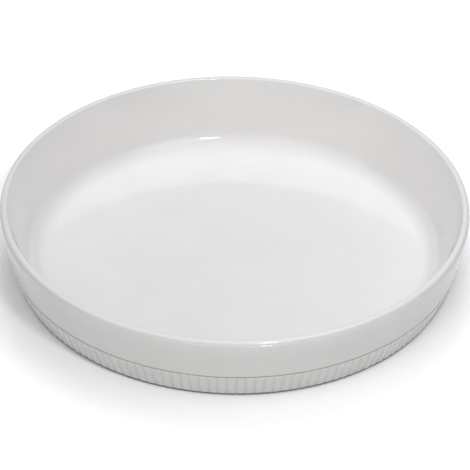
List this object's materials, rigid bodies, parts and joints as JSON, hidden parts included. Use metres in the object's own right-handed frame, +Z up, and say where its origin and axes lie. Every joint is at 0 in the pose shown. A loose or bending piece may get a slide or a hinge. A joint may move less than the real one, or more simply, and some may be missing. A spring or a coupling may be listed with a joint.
{
  "type": "round ceramic baking dish",
  "caption": "Shallow round oven dish: a plain flared wall over a band of fine upright ribs, for baking and serving flans, tarts and gratins.",
  "frame": {"origin": "centre of the foot ring, on the surface that the dish stands on", "axes": "+Z up along the dish's axis, towards the open top; X and Y are any two directions across the round dish"},
  "size_m": [0.28, 0.28, 0.045],
  "materials": {
    "glaze": "clear gloss glaze over white body"
  },
  "bodies": {
    "root": {"dish": "glaze"}
  },
  "joints": []
}
